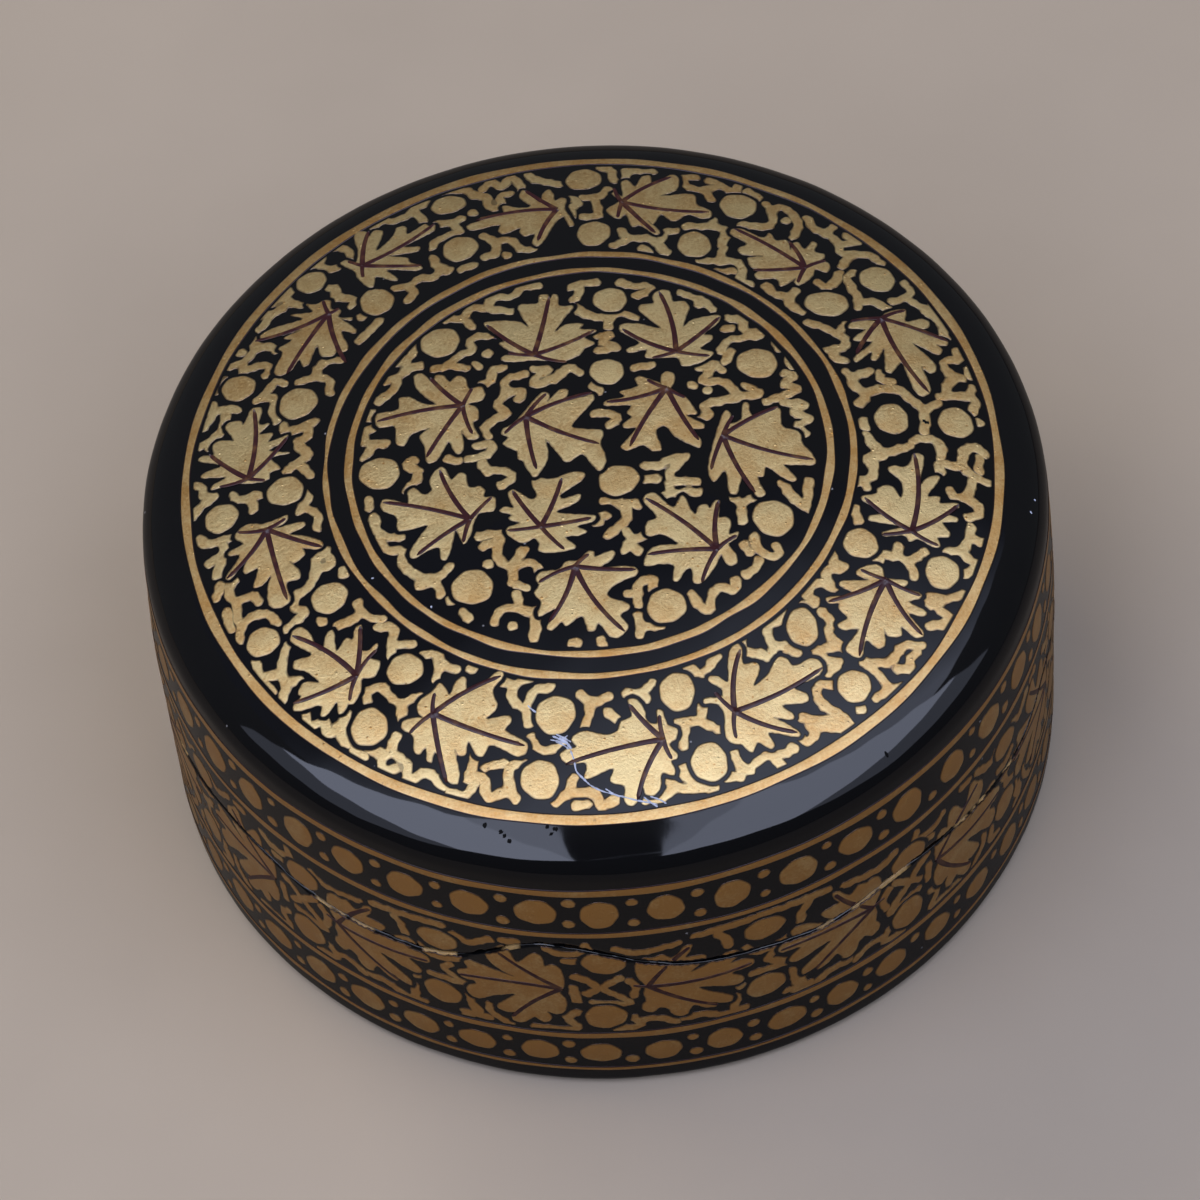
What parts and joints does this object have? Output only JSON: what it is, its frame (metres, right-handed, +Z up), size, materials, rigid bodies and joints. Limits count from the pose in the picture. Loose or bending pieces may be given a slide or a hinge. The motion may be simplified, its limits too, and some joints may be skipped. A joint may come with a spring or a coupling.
{
  "type": "papier-mache box",
  "caption": "Round lacquered papier-mache box with a lift-off lid, a wavy hand-sawn cut and an inner collar that guides the lid.",
  "frame": {"origin": "centre of the underside, on the surface the box stands on", "axes": "+Z up through the lid, -Y towards the viewer of the picture, +X to that viewer's right"},
  "size_m": [0.0752, 0.0768, 0.0353],
  "materials": {
    "lid_lacquer": "gloss",
    "base_lacquer": "gloss",
    "collar_card": "satin"
  },
  "bodies": {
    "base": {"base_shell": "base_lacquer", "collar": "collar_card"},
    "lid": {"lid_shell": "lid_lacquer"}
  },
  "joints": [
    {"name": "lid_lift", "type": "slide", "parent": "base", "child": "lid", "axis": [0, 0, 1], "range_m": [0, 0.04]}
  ]
}
